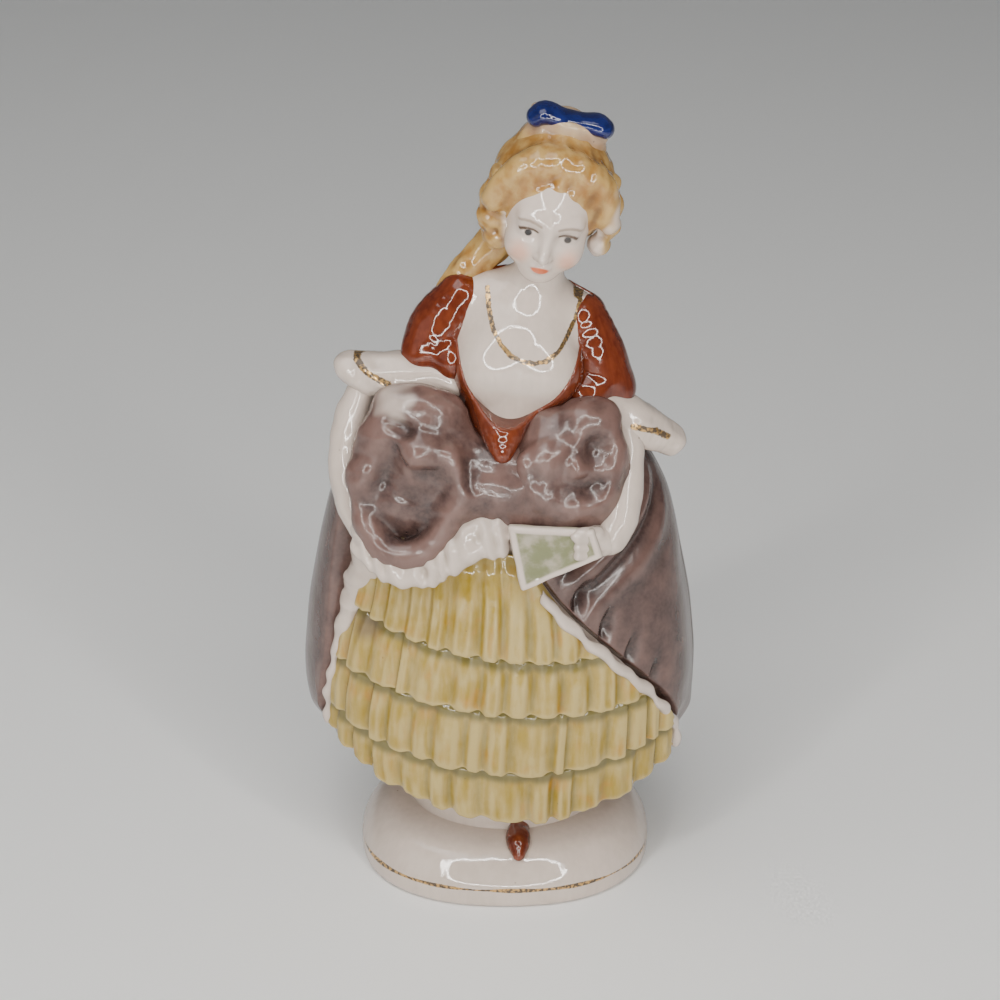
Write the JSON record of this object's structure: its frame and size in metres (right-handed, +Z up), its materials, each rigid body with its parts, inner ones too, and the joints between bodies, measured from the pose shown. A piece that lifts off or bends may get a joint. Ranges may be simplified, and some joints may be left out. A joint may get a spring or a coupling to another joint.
{
  "type": "porcelain figurine of a lady",
  "caption": "Small glazed porcelain figurine of a standing lady in a flounced skirt with looped-up overskirt, holding a fan, on an oval base.",
  "frame": {"origin": "on the standing surface, under the middle of the figurine's outer box", "axes": "+Z up from the base to the bow, the lady faces -Y, +X towards her left hand"},
  "size_m": [0.0429, 0.0314, 0.0921],
  "materials": {
    "white_glaze": "clear gloss glaze over white porcelain, with painted details",
    "yellow_glaze": "streaky yellow brushwork under gloss glaze",
    "purple_glaze": "blotchy grey-purple wash under gloss glaze",
    "rust_glaze": "streaky rust-red brushwork under gloss glaze",
    "hair_glaze": "mottled golden wash under gloss glaze",
    "blue_glaze": "cobalt blue under gloss glaze",
    "green_glaze": "thin pale green wash under gloss glaze"
  },
  "bodies": {
    "root": {"base": "white_glaze", "petticoat": "white_glaze", "shoe": "rust_glaze", "skirt_body": "yellow_glaze", "flounce_hem": "yellow_glaze", "flounce_lower": "yellow_glaze", "flounce_middle": "yellow_glaze", "flounce_top": "yellow_glaze", "overskirt": "purple_glaze", "revers_left": "white_glaze", "revers_right": "white_glaze", "pannier_right": "purple_glaze", "pannier_left": "purple_glaze", "lace_edge": "white_glaze", "bodice": "rust_glaze", "chest": "white_glaze", "head": "white_glaze", "hair": "hair_glaze", "topknot": "hair_glaze", "bow": "blue_glaze", "side_curls_right": "hair_glaze", "side_curls_left": "hair_glaze", "hair_tress": "hair_glaze", "sleeve_right": "rust_glaze", "cuff_frill_right": "white_glaze", "forearm_right": "white_glaze", "hand_right": "white_glaze", "sleeve_left": "rust_glaze", "cuff_frill_left": "white_glaze", "forearm_left": "white_glaze", "hand_left": "white_glaze", "fan": "green_glaze"}
  },
  "joints": []
}
